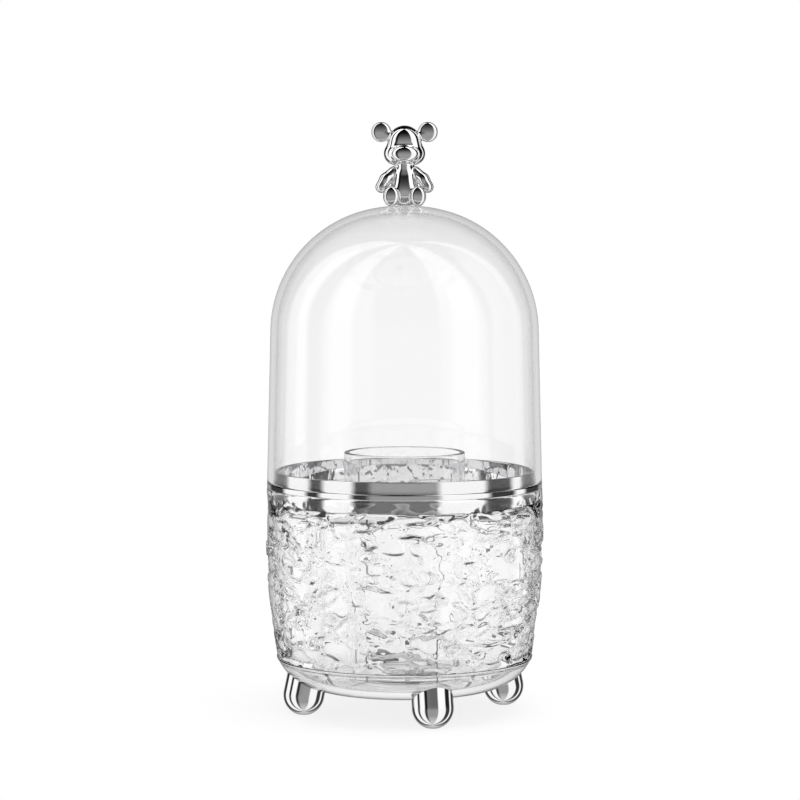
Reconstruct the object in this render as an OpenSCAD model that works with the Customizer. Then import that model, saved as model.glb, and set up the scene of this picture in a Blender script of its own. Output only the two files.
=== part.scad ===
/* [Bucket] */
// Width across the bucket's belly, over the peaks of its relief
bucket_w = 120; // [112:1:136]
// Height of the bucket from the underside of its bowl to its rim
bucket_h = 86.5; // [80:0.5:100]
// Thickness of the bucket's wall and floor
bucket_wall = 3; // [2.2:0.1:3.6]
// Height of the widest point above the underside of the bowl
belly_h = 67.4; // [58:0.1:74]
// Radius of the barrel curve down the bucket's side
barrel_r = 294; // [240:1:420]
// Height of the smooth bowl under the ridge
bowl_h = 12.1; // [10:0.1:15]
// Width of the flat under the bowl
base_flat_w = 72; // [62:1:78]
// Height of the smooth ridge between the bowl and the barrel
ridge_h = 1.4; // [0.8:0.1:2.4]
// How far the ridge stands out of the barrel
ridge_out = 0.4; // [0.2:0.1:0.8]

/* [Glacier relief] */
// Depth of the scallops in the bucket's side
relief_depth = 1; // [0.6:0.1:1.1]
// Radius of the ball that cuts a scallop
scallop_r = 22; // [14:1:24]
// Number of scallops in a row around the bucket
scallops = 24; // [18:1:24]
// Number of rows of scallops
relief_rows = 5; // [3:1:5]
// How far a scallop strays from its place in the row
relief_stray = 0.6; // [0:0.1:1]

/* [Feet] */
// Diameter of a foot
foot_w = 17.6; // [15:0.1:19]
// How far the middle of a foot's ball sits in from the bucket's belly
foot_inset = 15.1; // [14:0.1:20]
// Angle by which a foot leans outwards
foot_splay = 12; // [0:1:16]
// Width of the flat on which a foot stands
foot_flat_w = 5.6; // [4:0.1:7]
// Height of the bowl's underside above the table
ground_gap = 10.6; // [9:0.1:13]
// Diameter of the stud on top of a foot
stud_w = 5; // [4:0.1:6]

/* [Collar ring] */
// Height of the flange between the bucket and the dome
flange_h = 2.4; // [1.6:0.1:4]
// Height of the neck that guides the dome
neck_h = 5.1; // [3.6:0.1:9]
// Depth of the skirt inside the bucket
skirt_h = 5.7; // [4:0.1:9]
// Thickness of the ring's skirt
collar_wall = 1.5; // [1.2:0.1:2]
// Size of the bevels on the ring's edges
collar_bevel = 0.4; // [0.2:0.1:0.5]

/* [Dome cover] */
// Thickness of the dome's wall
dome_wall = 2.6; // [1.6:0.1:2.8]
// Height of the dome's straight side
dome_side_h = 64.4; // [50:0.1:90]
// How far the straight side leans in from bottom to top
dome_draft = 1.6; // [0:0.1:2]
// How much larger the crown's radius is than the radius on top of the side
crown_flatten = 13.6; // [4:0.2:30]
// Distance of the shoulder arc's middle from the axis
shoulder_inset = 3.7; // [1:0.1:12]

/* [Divider insert] */
// Number of compartments around the cup
compartments = 5; // [3:1:8]
// Direction of the first divider, counted from the front
divider_turn = 18; // [0:1:72]
// Outer diameter of the centre cup
cup_w = 52; // [40:1:60]
// Height by which the cup rises above the collar ring
cup_rise = 7.7; // [2:0.1:9]
// Height of the dividers above the bucket's floor
divider_h = 78.4; // [60:0.1:78.5]
// Radius of the dividers' outer top corners
divider_corner = 14; // [13:1:18]
// How far the dividers' outer edges lean in from the floor to their tops
divider_draft = 2; // [1.6:0.1:3]
// Thickness of the cup's wall and the dividers
insert_wall = 2; // [1.4:0.1:2.6]

/* [Bear finial] */
// Height from the crown of the dome to the tops of the ears
bear_h = 35.7; // [34:0.1:42]
// Width across the cheeks
cheek_w = 17.8; // [16:0.1:20]
// Width of the forehead
brow_w = 14.4; // [13:0.1:16]
// Diameter of an ear
ear_w = 8.6; // [8:0.1:10]
// Distance between the middles of the ears
ear_spread = 20; // [19:0.1:21.4]
// Width of the torso at the belly
torso_w = 13; // [12:0.1:14]
// Width across the hanging arms
arm_span = 25.1; // [23:0.1:27]
// Width of a sole
sole_w = 7; // [6.4:0.1:8]
// Height of a sole
sole_h = 8.8; // [8:0.1:9.6]
// How far the torso sits behind the dome's axis
bear_setback = 2.5; // [0:0.1:4]
// Direction in which the bear looks, counted from the front
bear_turn = -15; // [-180:1:180]

/* [Clearances] */
// Gap all round between the neck and the dome
lid_gap = 0.6; // [0.5:0.05:0.9]
// Gap all round between the dividers and what they pass
insert_gap = 0.4; // [0.3:0.05:0.7]
// Gap all round a pressed skirt, a stud or a peg
press_gap = 0.08; // [0.04:0.01:0.15]
// Thickness of the glue under the feet and the bear
glue_gap = 0.05; // [0.03:0.01:0.1]

/* [Hidden] */
$fn = 96;

clear_color = [0.86, 0.90, 0.92, 0.45];
insert_color = [0.75, 0.82, 0.86, 0.6];
chrome_color = [0.72, 0.72, 0.74];

// Heights of the seats, from the table up
bowl_z = ground_gap;
floor_z = bowl_z + bucket_wall;
ridge_z = bowl_z + bowl_h;
rim_z = bowl_z + bucket_h;
flange_z = rim_z + flange_h;
neck_z = flange_z + neck_h;
spring_z = flange_z + dome_side_h;
belly_z = bowl_z + belly_h;

// Steps along an arc of the turned outlines
arc_steps = 14;

// Radius of the barrel curve at a height, moved outwards by off
function barrel_at(z, off = 0) =
    bucket_w / 2 - barrel_r + sqrt(pow(barrel_r + off, 2) - pow(z - belly_z, 2));

// The bowl's curve is tangent to its flat and meets the barrel at the ridge
flat_r = base_flat_w / 2;
bowl_rise_r = barrel_at(ridge_z) - flat_r;
bowl_r = (pow(bowl_rise_r, 2) + pow(bowl_h, 2)) / (2 * bowl_h);
bowl_end = atan2(bowl_h - bowl_r, bowl_rise_r);
// Height at which the bowl's curve, moved outwards by off, meets the barrel's side
function bowl_top_z(off) = bowl_z + bowl_r + (bowl_r + off) * sin(bowl_end);
// Height of the bowl's underside at a distance from the axis
function bowl_skin_z(r) = bowl_z + bowl_r - sqrt(pow(bowl_r, 2) - pow(max(0, r - flat_r), 2));

// Scallops lie between the ridge and the ring's skirt, and their depths vary by a share
depth_share = 0.15;
scallop_h = 2 * sqrt(2 * relief_depth / (1 / scallop_r + 1 / barrel_r));
relief_margin = 0.6;
plug_r = scallop_h / 2 + 0.4;
relief_z = ridge_z + ridge_h + relief_margin + scallop_h / 2;
relief_top_z = rim_z - skirt_h - relief_margin - scallop_h / 2;

// The ring fits between the bucket's rim and the dome
rim_r = barrel_at(rim_z);
skirt_r = rim_r - bucket_wall - press_gap;
bore_r = skirt_r - collar_wall;
lid_r = rim_r - press_gap;
neck_r = lid_r - dome_wall - lid_gap;

// The dome's shoulder is tangent to its side, and its crown is tangent to the shoulder
spring_r = lid_r - dome_draft;
shoulder_r = spring_r - shoulder_inset;
crown_r = spring_r + crown_flatten;
crown_mid_z = spring_z - sqrt(pow(crown_r - shoulder_r, 2) - pow(shoulder_inset, 2));
crown_z = crown_mid_z + crown_r;
crown_start = atan2(spring_z - crown_mid_z, shoulder_inset);

// The insert slides up through the ring
insert_r = bore_r - insert_gap;
cup_r = cup_w / 2;
cup_z = neck_z + cup_rise;
divider_z = floor_z + divider_h;
// Radius of the dividers' outer edges at a height
function divider_edge(z) = insert_r - divider_draft * (z - floor_z) / divider_h;

// A foot's ball, and the stud that enters the bowl's wall
foot_turns = [0, 90, 180, 270];
foot_r = foot_w / 2;
foot_reach = bucket_w / 2 - foot_inset;
ball_z = sqrt(pow(foot_r, 2) - pow(foot_flat_w / 2, 2));
stud_depth = 0.5 * bucket_wall;
foot_up = (bowl_skin_z(foot_reach) - ball_z) / cos(foot_splay);

// The peg under the bear stands in a recess of the crown
peg_r = 2;
peg_h = 0.45 * dome_wall;

// The bear's head: ears over brow, cheeks under it, and the muzzle in front of them
brow_r = brow_w / 2;
ear_r = ear_w / 2;
ear_lift = 1.5;
ear_flat = 0.62;
ear_root_r = 0.42 * ear_r;
cheek_drop = 4.8;
cheek_r = 5.2;
cheek_out = 1;
muzzle_r = 3.9;
muzzle_stretch = [1.6, 1.1, 1];
muzzle_out = 5;
muzzle_drop = 0.4;
ear_z = bear_h - ear_r;
brow_z = bear_h - ear_lift - brow_r;
cheek_x = cheek_w / 2 - cheek_r;
cheek_z = brow_z - cheek_drop;

// Its body: a pear torso, and arms that swing out past the elbow to the hand
torso_r = torso_w / 2;
chest_r = 0.7 * torso_r;
torso_z = torso_r - 0.6;
chest_z = cheek_z - cheek_r - 0.75 * chest_r;
shoulder_ball_r = 2.3;
elbow_r = 2.5;
hand_r = 2.6;
hand_drop = 6.6;

// Its legs: haunches beside the torso, and flat soles with a bevelled rim turned forwards
haunch_r = 3.6;
haunch_x = 4.2;
sole_x = 5.7;
sole_z = sole_h / 2 - 0.5;
sole_out = 5.8;
sole_plate_h = 0.4;
sole_rim = 2;
sole_bevel = 1.4;

// Points along an arc from angle a to angle b
function arc(x, y, r, a, b, n = arc_steps) =
    [for (i = [0:n]) [x + r * cos(a + (b - a) * i / n), y + r * sin(a + (b - a) * i / n)]];

// The barrel's side from above height a up to height b, moved outwards by off
function side(a, b, off = 0, n = arc_steps) =
    [for (i = [1:n]) let (z = a + (b - a) * i / n) [barrel_at(z, off), z]];

// The bowl's curve from its flat to the ridge, moved outwards by off
function bowl_curve(off = 0) = arc(flat_r, bowl_z + bowl_r, bowl_r + off, -90, bowl_end);

// Turns its children about the axis, from the front towards +X
module around(turn) {
    rotate([0, 0, turn]) children();
}

// ---- Bucket ----

module bucket_skin(off = 0) {
    rotate_extrude()
        polygon(concat(
            [[0, bowl_z - off]],
            bowl_curve(off),
            [[barrel_at(ridge_z, off) + ridge_out, ridge_z],
             [barrel_at(ridge_z + ridge_h, off) + ridge_out, ridge_z + ridge_h],
             [barrel_at(ridge_z + ridge_h, off), ridge_z + ridge_h]],
            side(ridge_z + ridge_h, rim_z, off),
            [[0, rim_z]]));
}

module bucket_hollow() {
    top = rim_z + flange_h;
    rotate_extrude()
        polygon(concat(
            [[0, floor_z]],
            bowl_curve(-bucket_wall),
            side(bowl_top_z(-bucket_wall), rim_z - skirt_h, -bucket_wall),
            [[rim_r - bucket_wall, rim_z - skirt_h],
             [rim_r - bucket_wall, top],
             [0, top]]));
}

// The tip of a ball that cuts one scallop whose middle lies at a height, to a depth
module scallop(turn, z, depth) {
    tilt = asin((z - belly_z) / barrel_r);
    around(turn)
        translate([0, barrel_r - bucket_w / 2, belly_z])
            rotate([90 - tilt, 0, 0])
                intersection() {
                    translate([0, 0, barrel_r - depth + scallop_r]) sphere(r = scallop_r);
                    translate([0, 0, barrel_r - 2 * depth]) cylinder(r = plug_r, h = 4 * depth);
                }
}

// Staggered rows of scallops, each strayed a little from its place
module glacier_relief() {
    step = 360 / scallops;
    for (row = [0:relief_rows - 1], i = [0:scallops - 1]) {
        stray = rands(-1, 1, 3, row * scallops + i);
        end = row == 0 || row == relief_rows - 1;
        scallop(
            (i + row / 2) * step + stray[0] * relief_stray * 360 / (PI * bucket_w),
            relief_z + row * (relief_top_z - relief_z) / (relief_rows - 1)
                + (end ? 0 : stray[1] * relief_stray),
            relief_depth * (1 - depth_share + depth_share * stray[2]));
    }
}

module bucket() {
    color(clear_color)
        difference() {
            bucket_skin();
            glacier_relief();
            bucket_hollow();
            for (turn = foot_turns)
                around(turn) foot_stud(press_gap, 2 * press_gap);
        }
}

// ---- Feet ----

// Moves to the middle of a front foot's ball and leans with the foot
module at_foot() {
    translate([0, -foot_reach, ball_z])
        rotate([-foot_splay, 0, 0])
            children();
}

module foot_stud(gap = 0, end_gap = 0) {
    at_foot()
        cylinder(r = stud_w / 2 + gap, h = foot_up + stud_depth + end_gap);
}

module foot(turn) {
    lean_h = foot_up + foot_r;
    color(chrome_color)
        around(turn) {
            difference() {
                at_foot() {
                    sphere(r = foot_r);
                    cylinder(r = foot_r, h = lean_h);
                }
                bucket_skin(glue_gap);
                translate([-foot_w, -foot_reach - foot_w, -foot_w])
                    cube([2 * foot_w, 2 * foot_w, foot_w]);
            }
            foot_stud();
        }
}

// ---- Collar ring ----

module collar_ring() {
    color(chrome_color)
        rotate_extrude()
            polygon([
                [bore_r, rim_z - skirt_h],
                [skirt_r - collar_bevel, rim_z - skirt_h],
                [skirt_r, rim_z - skirt_h + collar_bevel],
                [skirt_r, rim_z],
                [rim_r - collar_bevel, rim_z],
                [rim_r, rim_z + collar_bevel],
                [rim_r, flange_z - collar_bevel],
                [rim_r - collar_bevel, flange_z],
                [neck_r, flange_z],
                [neck_r, neck_z - collar_bevel],
                [neck_r - collar_bevel, neck_z],
                [bore_r + collar_bevel, neck_z],
                [bore_r, neck_z - collar_bevel]]);
}

// ---- Divider insert ----

module divider() {
    off = -bucket_wall - insert_gap;
    lip_z = divider_z - divider_corner;
    reach = [for (point = side(bowl_top_z(off), lip_z, off))
        [min(divider_edge(point[1]), point[0]), point[1]]];
    corner_r = divider_edge(lip_z) - divider_corner;
    rotate([90, 0, 0])
        translate([0, 0, -insert_wall / 2])
            linear_extrude(height = insert_wall)
                polygon(concat(
                    [[cup_r - insert_wall / 2, floor_z + insert_gap]],
                    bowl_curve(off),
                    reach,
                    arc(corner_r, lip_z, divider_corner, 0, 90),
                    [[cup_r - insert_wall / 2, divider_z]]));
}

module divider_insert() {
    lip = insert_wall / 4;
    color(insert_color) {
        rotate_extrude()
            polygon([
                [0, floor_z],
                [cup_r, floor_z],
                [cup_r, cup_z - lip],
                [cup_r - lip, cup_z],
                [cup_r - insert_wall + lip, cup_z],
                [cup_r - insert_wall, cup_z - lip],
                [cup_r - insert_wall, floor_z + insert_wall],
                [0, floor_z + insert_wall]]);
        for (i = [0:compartments - 1])
            around(divider_turn - 90 + i * 360 / compartments) divider();
    }
}

// ---- Dome cover ----

// The outline of the dome's skin, moved outwards by off
function dome_curve(off = 0) = concat(
    arc(shoulder_inset, spring_z, shoulder_r + off, 0, crown_start),
    arc(0, crown_mid_z, crown_r + off, crown_start, 90));

module dome_cover() {
    color(clear_color)
        difference() {
            rotate_extrude()
                polygon(concat([[0, flange_z], [lid_r, flange_z]], dome_curve()));
            rotate_extrude()
                polygon(concat(
                    [[0, flange_z - dome_wall], [lid_r - dome_wall, flange_z - dome_wall],
                     [lid_r - dome_wall, flange_z]],
                    dome_curve(-dome_wall)));
            translate([0, 0, crown_z - peg_h - press_gap])
                cylinder(r = peg_r + press_gap, h = peg_h + dome_wall);
        }
}

// ---- Bear finial ----

module limb(a, ra, b, rb) {
    hull() {
        translate(a) sphere(r = ra, $fn = 24);
        translate(b) sphere(r = rb, $fn = 24);
    }
}

module bear_head() {
    hull() {
        translate([0, bear_setback, brow_z]) sphere(r = brow_r, $fn = 32);
        translate([0, bear_setback, cheek_z + cheek_out]) sphere(r = cheek_r, $fn = 24);
    }
    limb([-cheek_x, bear_setback - cheek_out, cheek_z], cheek_r,
        [cheek_x, bear_setback - cheek_out, cheek_z], cheek_r);
    translate([0, bear_setback - muzzle_out, cheek_z - muzzle_drop])
        scale(muzzle_stretch) sphere(r = muzzle_r, $fn = 28);
}

module bear_ear() {
    x = ear_spread / 2;
    translate([x, bear_setback, ear_z]) scale([1, ear_flat, 1]) sphere(r = ear_r, $fn = 28);
    // A short root joins the ear to the side of the brow
    limb([x - 0.6 * ear_r, bear_setback, ear_z - 0.35 * ear_r], ear_root_r,
        [0.6 * brow_r, bear_setback, brow_z + 0.15 * brow_r], ear_root_r);
}

module bear_arm() {
    shoulder = [0.7 * torso_r, bear_setback - 0.3, chest_z + 0.9];
    hand = [arm_span / 2 - hand_r, bear_setback - 1.5, chest_z + 0.9 - hand_drop];
    // The elbow lies above and outside the straight line from shoulder to hand
    elbow = 0.4 * shoulder + 0.6 * hand + [0.5, 0, 0.6];
    limb(shoulder, shoulder_ball_r, elbow, elbow_r);
    limb(elbow, elbow_r, hand, hand_r);
}

module bear_sole(out, rim) {
    translate([sole_x, -out, sole_z])
        rotate([90, 0, 0])
            scale([sole_w - rim, sole_h - rim, 1]) cylinder(d = 1, h = sole_plate_h, $fn = 28);
}

module bear_leg() {
    hull() {
        translate([haunch_x, bear_setback - 1, haunch_r]) sphere(r = haunch_r, $fn = 24);
        bear_sole(sole_out - sole_bevel, 0);
        bear_sole(sole_out - sole_plate_h, sole_rim);
    }
}

module bear_figure() {
    translate([0, 0, crown_z]) {
        bear_head();
        limb([0, bear_setback, torso_z], torso_r, [0, bear_setback, chest_z], chest_r);
        for (flip = [0, 1])
            mirror([flip, 0, 0]) {
                bear_ear();
                bear_arm();
                bear_leg();
            }
    }
}

module bear_finial() {
    color(chrome_color)
        around(bear_turn) {
            difference() {
                bear_figure();
                translate([0, 0, crown_mid_z]) sphere(r = crown_r + glue_gap, $fn = 120);
            }
            translate([0, 0, crown_z - peg_h]) cylinder(r = peg_r, h = peg_h + peg_r, $fn = 48);
        }
}

bucket();
foot(foot_turns[0]);  // foot_front
foot(foot_turns[1]);  // foot_right
foot(foot_turns[2]);  // foot_back
foot(foot_turns[3]);  // foot_left
collar_ring();
divider_insert();
dome_cover();
bear_finial();
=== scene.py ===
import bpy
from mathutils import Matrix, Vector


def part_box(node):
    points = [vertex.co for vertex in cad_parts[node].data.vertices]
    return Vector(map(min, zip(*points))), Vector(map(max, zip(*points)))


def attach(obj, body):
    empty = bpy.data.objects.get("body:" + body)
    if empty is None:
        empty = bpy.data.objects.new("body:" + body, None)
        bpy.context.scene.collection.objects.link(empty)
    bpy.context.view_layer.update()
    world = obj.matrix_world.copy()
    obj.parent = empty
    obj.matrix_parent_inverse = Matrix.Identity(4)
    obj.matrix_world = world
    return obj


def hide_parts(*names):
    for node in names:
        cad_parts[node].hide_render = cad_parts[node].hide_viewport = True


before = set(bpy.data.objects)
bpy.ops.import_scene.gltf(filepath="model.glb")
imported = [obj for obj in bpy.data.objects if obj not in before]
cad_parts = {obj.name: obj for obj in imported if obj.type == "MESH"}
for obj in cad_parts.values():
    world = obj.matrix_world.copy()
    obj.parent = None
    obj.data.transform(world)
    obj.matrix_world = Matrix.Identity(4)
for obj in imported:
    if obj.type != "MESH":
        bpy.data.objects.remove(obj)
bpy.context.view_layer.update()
print("solids:", sorted(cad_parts))

# %% [markdown]
# # A clear lidded tub with a glacier relief
# The object is a round tub for brushes and cosmetics. A clear bucket stands on four chrome ball feet, a
# chrome ring closes its rim, a clear insert divides it, and a clear dome with a chrome bear for a handle
# keeps the dust out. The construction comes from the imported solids, and this lesson dresses them: it builds
# a smoother skin for each piece in the same place and gives it its finish. Everything is in metres.
#
# Sizes are written in millimetres, as a drawing gives them, and one constant turns them to metres. The
# heights where pieces begin and end are read from the solids' boxes. Radii and walls are repeated here from
# the drawing, because a box holds few of them.

# %% Sizes shared by the pieces
import math

import bmesh
import bpy
import numpy as np
from mathutils import Matrix, Vector

MM = 0.001


def low(node, axis):
    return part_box(node)[0][axis]


def high(node, axis):
    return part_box(node)[1][axis]


bowl_z = low("bucket", 2)
rim_z = high("bucket", 2)
neck_z = high("collar_ring", 2)
flange_z = low("dome_cover", 2)
skirt_z = low("collar_ring", 2)
floor_z = low("divider_insert", 2)
cup_z = high("divider_insert", 2)

belly_r = 60 * MM
belly_z = bowl_z + 67.4 * MM
barrel_r = 294 * MM
wall = 3 * MM
bowl_h = 12.1 * MM
ridge_z = bowl_z + bowl_h
ridge_h = 1.4 * MM
ridge_out = 0.4 * MM
flat_r = 36 * MM


def barrel_at(z, off=0.0):
    """Radius of the bucket's barrel curve at a height, moved outwards by off."""
    return belly_r - barrel_r + math.sqrt((barrel_r + off) ** 2 - (z - belly_z) ** 2)


bowl_rise = barrel_at(ridge_z) - flat_r
bowl_r = (bowl_rise**2 + bowl_h**2) / (2 * bowl_h)
bowl_end = math.atan2(bowl_h - bowl_r, bowl_rise)
rim_r = barrel_at(rim_z)
skirt_r = rim_r - wall - 0.08 * MM
bore_r = skirt_r - 1.5 * MM
lid_r = rim_r - 0.08 * MM
dome_wall = 2.6 * MM
neck_r = lid_r - dome_wall - 0.6 * MM

dome_draft = 1.6 * MM
spring_z = flange_z + 64.4 * MM
spring_r = lid_r - dome_draft
shoulder_inset = 3.7 * MM
shoulder_r = spring_r - shoulder_inset
crown_r = spring_r + 13.6 * MM
crown_mid = spring_z - math.sqrt((crown_r - shoulder_r) ** 2 - shoulder_inset**2)
crown_z = crown_mid + crown_r
crown_from = math.atan2(spring_z - crown_mid, shoulder_inset)
print(f"rim {rim_z / MM:.1f} mm high, {2 * rim_r / MM:.1f} mm wide; crown {crown_z / MM:.1f} mm high, "
      f"against {high('dome_cover', 2) / MM:.1f} mm in the solids")

# %% [markdown]
# Turned pieces share one helper. An outline of points (radius, height) is spun round the upright axis into
# rings of quads. The outline is a closed loop, so the skin is closed too, and where it touches the axis the
# ring collapses to one vertex. Smooth shading with sharp edges only where the outline really turns keeps
# long highlights clean.

# %% Helpers for turned pieces
def arc(x, z, r, a, b, steps):
    """Points along an arc about (x, z) from angle a to angle b, in radians."""
    return [(x + r * math.cos(a + (b - a) * i / steps), z + r * math.sin(a + (b - a) * i / steps))
            for i in range(steps + 1)]


def turned(outline, segments):
    """Vertices and faces of an outline of (radius, height) points spun round Z, as numpy-friendly lists."""
    verts, faces, rings = [], [], []
    for r, z in outline:
        if r < 1e-7:
            rings.append([len(verts)] * segments)
            verts.append((0.0, 0.0, z))
        else:
            first = len(verts)
            rings.append([first + i for i in range(segments)])
            verts += [(r * math.cos(2 * math.pi * i / segments), r * math.sin(2 * math.pi * i / segments), z)
                      for i in range(segments)]
    for a, b in zip(rings, rings[1:] + rings[:1]):
        for i in range(segments):
            j = (i + 1) % segments
            loop = [a[i], a[j], b[j], b[i]]
            loop = [v for k, v in enumerate(loop) if v != loop[k - 1]]
            if len(loop) > 2:
                faces.append(loop)
    return verts, faces


def finish_mesh(mesh, sharp_deg=35):
    """Merges doubles, points the faces outwards and shades the mesh smooth up to an angle."""
    bm = bmesh.new()
    bm.from_mesh(mesh)
    bmesh.ops.remove_doubles(bm, verts=bm.verts, dist=1e-7)
    bmesh.ops.recalc_face_normals(bm, faces=bm.faces)
    if bm.calc_volume(signed=True) < 0:
        bmesh.ops.reverse_faces(bm, faces=bm.faces)
    bm.to_mesh(mesh)
    bm.free()
    mesh.shade_smooth()
    mesh.set_sharp_from_angle(angle=math.radians(sharp_deg))


def new_piece(name, verts, faces, sharp_deg=35):
    """Makes an object at the origin from vertices and faces."""
    mesh = bpy.data.meshes.new(name)
    mesh.from_pydata([tuple(v) for v in verts], [], faces)
    finish_mesh(mesh, sharp_deg)
    piece = bpy.data.objects.new(name, mesh)
    bpy.context.scene.collection.objects.link(piece)
    print(f"{name}: {len(mesh.vertices)} vertices, {len(mesh.polygons)} faces")
    return piece


# %% [markdown]
# ## Materials
# Colours are sRGB hex values, as a paint chart gives them, and one function turns them to the linear values
# that the renderer works in. One small function adds a node with its settings and links, and every material
# below is built with it.

# %% Material helpers
def linear(hex_colour):
    """Turns an sRGB hex colour to a linear RGBA tuple."""
    out = []
    for i in (1, 3, 5):
        c = int(hex_colour[i:i + 2], 16) / 255
        out.append(c / 12.92 if c <= 0.04045 else ((c + 0.055) / 1.055) ** 2.4)
    return (*out, 1.0)


def add(tree, kind, settings=None, **inputs):
    """Adds a node. settings are its attributes, and inputs are values or output sockets, named as the sockets
    are with spaces as underscores, or in_0, in_1 for sockets picked by number."""
    node = tree.nodes.new(kind)
    for key, value in (settings or {}).items():
        setattr(node, key, value)
    for key, value in inputs.items():
        socket = node.inputs[int(key[3:])] if key.startswith("in_") else node.inputs[key.replace("_", " ")]
        if isinstance(value, bpy.types.NodeSocket):
            tree.links.new(value, socket)
        else:
            socket.default_value = value
    return node


def new_material(name):
    """Makes an empty node material with its output, and returns both."""
    material = bpy.data.materials.new(name)
    material.use_nodes = True
    material.node_tree.nodes.clear()
    output = add(material.node_tree, "ShaderNodeOutputMaterial")
    return material, material.node_tree, output


# %% [markdown]
# Chrome plating on moulded plastic is a mirror: fully metallic, a pale neutral grey and almost no roughness.
# A plated moulding still has faint orange peel and handling haze, so a soft noise with patches about 6 mm
# wide lifts the roughness a little.

# %% Chrome plating
def make_chrome():
    material, tree, output = new_material("chrome_plated_abs")
    coords = add(tree, "ShaderNodeTexCoord")
    haze = add(tree, "ShaderNodeTexNoise", Vector=coords.outputs["Object"], Scale=1 / (6 * MM), Detail=4.0)
    rough = add(tree, "ShaderNodeMapRange", Value=haze.outputs["Fac"], From_Min=0.35, From_Max=0.75,
                To_Min=0.012, To_Max=0.04)
    shader = add(tree, "ShaderNodeBsdfPrincipled", Base_Color=linear("#EDEDEE"), Metallic=1.0,
                 Roughness=rough.outputs["Result"])
    tree.links.new(shader.outputs["BSDF"], output.inputs["Surface"])
    return material


chrome = make_chrome()
print("made", chrome.name)

# %% [markdown]
# The clear pieces are injection-moulded plastic: polystyrene or acrylic, with an index of refraction near
# 1.5. A wall that is seen edge-on is looked through along its length, which greys it a little. Through Layer
# Weight, the tint darkens far more than that where the surface turns away: that is painted shade, standing
# in for the dark surroundings that a clear wall mirrors and bends there, and draws dark strokes in the relief.

# %% Clear plastics
def make_clear(name, tint, painted_edge_shade, edge_from, edge_to, ior, rough):
    """A clear moulded plastic whose tint darkens where the surface turns away, as painted shade."""
    material, tree, output = new_material(name)
    facing = add(tree, "ShaderNodeLayerWeight", Blend=0.5)
    # Painted shade: the tint turns to the dark grey where the surface turns away from the viewer.
    edge = add(tree, "ShaderNodeMapRange", {"interpolation_type": "SMOOTHSTEP"},
               Value=facing.outputs["Facing"], From_Min=edge_from, From_Max=edge_to, To_Min=0.0, To_Max=1.0)
    colour = add(tree, "ShaderNodeMix", {"data_type": "RGBA"}, in_0=edge.outputs["Result"],
                 in_6=linear(tint), in_7=linear(painted_edge_shade))
    coords = add(tree, "ShaderNodeTexCoord")
    haze = add(tree, "ShaderNodeTexNoise", Vector=coords.outputs["Object"], Scale=1 / (9 * MM), Detail=3.0)
    roughness = add(tree, "ShaderNodeMapRange", Value=haze.outputs["Fac"], From_Min=0.4, From_Max=0.8,
                    To_Min=rough, To_Max=rough * 2)
    shader = add(tree, "ShaderNodeBsdfPrincipled", Base_Color=colour.outputs[2],
                 Roughness=roughness.outputs["Result"], IOR=ior, Transmission_Weight=1.0)
    tree.links.new(shader.outputs["BSDF"], output.inputs["Surface"])
    return material


# The second grey of each is painted shade at grazing angles; the relief's is nearly black.
dome_plastic = make_clear("clear_acrylic_polished", "#FEFEFE", "#4C4C4C", 0.955, 1.0, 1.49, 0.004)
relief_plastic = make_clear("clear_polystyrene_relief", "#FFFFFF", "#101010", 0.66, 0.98, 1.55, 0.004)
insert_plastic = make_clear("clear_polystyrene_polished", "#FFFFFF", "#C8C8C8", 0.8, 1.0, 1.49, 0.004)
print("made", dome_plastic.name, relief_plastic.name, insert_plastic.name)

# %% [markdown]
# ## Bucket
# The bucket is one clear moulding: a bowl with a flat under it, a smooth ridge, and a barrel side whose
# outer face is an uneven glacier relief. Inside it is smooth. The plain form is turned from its outline,
# finely enough to carry the relief. Each vertex of the outer barrel gets a weight, which fades out at the
# ridge and under the ring.

# %% Bucket outline
bucket_segments = 540
relief_rows = 128
relief_low = ridge_z + ridge_h
relief_fade = 2.4 * MM
top_fade = 5.0 * MM
relief_top = rim_z - 1.5 * MM
bucket_top_r = rim_r - wall


def bucket_outline():
    bowl_steps, inner_bowl_steps, inner_steps = 14, 12, 8
    outer_bowl = arc(flat_r, bowl_z + bowl_r, bowl_r, -math.pi / 2, bowl_end, bowl_steps)
    inner_bowl = arc(flat_r, bowl_z + bowl_r, bowl_r - wall, -math.pi / 2, bowl_end, inner_bowl_steps)
    inner_z = inner_bowl[-1][1]
    ridge = [(barrel_at(ridge_z) + ridge_out * 0.5, ridge_z + 0.05 * MM),
             (barrel_at(ridge_z) + ridge_out, ridge_z + 0.3 * MM),
             (barrel_at(relief_low) + ridge_out, relief_low - 0.3 * MM),
             (barrel_at(relief_low) + ridge_out * 0.5, relief_low - 0.05 * MM)]
    side = [(barrel_at(relief_low + (rim_z - relief_low) * i / relief_rows),
             relief_low + (rim_z - relief_low) * i / relief_rows) for i in range(relief_rows)]
    side += [(rim_r, rim_z - 0.5 * MM), (rim_r - 0.15 * MM, rim_z - 0.15 * MM), (rim_r - 0.5 * MM, rim_z)]
    inner = [(barrel_at(inner_z + (skirt_z - inner_z) * i / inner_steps, -wall),
              inner_z + (skirt_z - inner_z) * i / inner_steps) for i in range(1, inner_steps + 1)]
    top = [(bucket_top_r, rim_z), (bucket_top_r, skirt_z + 0.5 * MM), (bucket_top_r, skirt_z + 0.2 * MM)]
    outside = [(0.0, bowl_z)] + outer_bowl + ridge + side
    return outside + top + inner[::-1] + inner_bowl[::-1] + [(0.0, floor_z)]


bucket_skin = new_piece("bucket_skin", *turned(bucket_outline(), bucket_segments), sharp_deg=50)

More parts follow.
